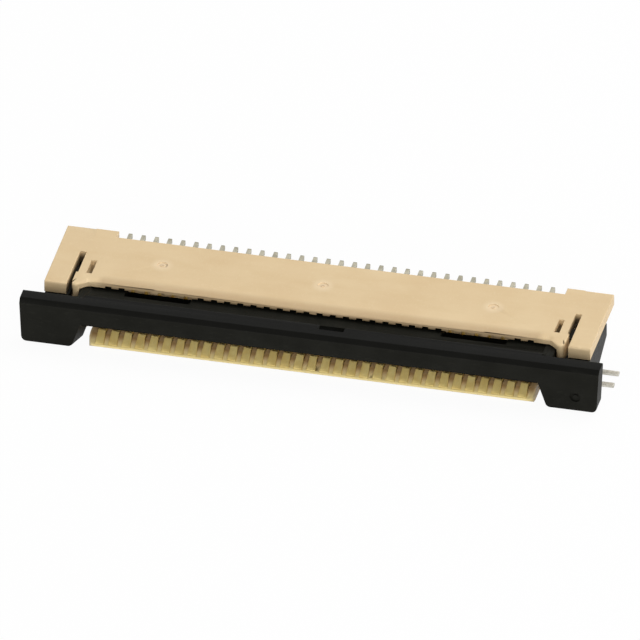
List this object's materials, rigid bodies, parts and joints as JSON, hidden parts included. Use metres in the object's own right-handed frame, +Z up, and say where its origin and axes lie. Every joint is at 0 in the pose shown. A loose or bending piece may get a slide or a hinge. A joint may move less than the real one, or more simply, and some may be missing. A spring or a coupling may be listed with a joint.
{
  "type": "fpc connector",
  "caption": "Right-angle surface-mount connector that clamps a flat flexible cable onto a row of spring contacts with a sliding lock between two ears.",
  "frame": {"origin": "on the circuit board's plane, at the middle of the row of contacts, level with the front faces of the housing's end arms", "axes": "+X along the row of contacts, +Y from the cable mouth back towards the solder tails, +Z up from the board"},
  "size_m": [0.0222, 0.0058, 0.002],
  "materials": {
    "housing_plastic": "satin moulded, beige, heat resistant",
    "slider_plastic": "satin moulded, black",
    "contact_metal": "stamped copper alloy, gold flash on the spring arms, tin on the tails",
    "tin": "stamped, matte tin plated"
  },
  "bodies": {
    "housing": {"housing": "housing_plastic", "nail_left": "tin", "nail_right": "tin", "terminal_01": "contact_metal", "terminal_02": "contact_metal", "terminal_03": "contact_metal", "terminal_04": "contact_metal", "terminal_05": "contact_metal", "terminal_06": "contact_metal", "terminal_07": "contact_metal", "terminal_08": "contact_metal", "terminal_09": "contact_metal", "terminal_10": "contact_metal", "terminal_11": "contact_metal", "terminal_12": "contact_metal", "terminal_13": "contact_metal", "terminal_14": "contact_metal", "terminal_15": "contact_metal", "terminal_16": "contact_metal", "terminal_17": "contact_metal", "terminal_18": "contact_metal", "terminal_19": "contact_metal", "terminal_20": "contact_metal", "terminal_21": "contact_metal", "terminal_22": "contact_metal", "terminal_23": "contact_metal", "terminal_24": "contact_metal", "terminal_25": "contact_metal", "terminal_26": "contact_metal", "terminal_27": "contact_metal", "terminal_28": "contact_metal", "terminal_29": "contact_metal", "terminal_30": "contact_metal", "terminal_31": "contact_metal", "terminal_32": "contact_metal", "terminal_33": "contact_metal"},
    "slider": {"slider": "slider_plastic"}
  },
  "joints": [
    {"name": "slider_slide", "type": "slide", "parent": "housing", "child": "slider", "axis": [0, 1, 0], "range_m": [0, 0.0006]}
  ]
}
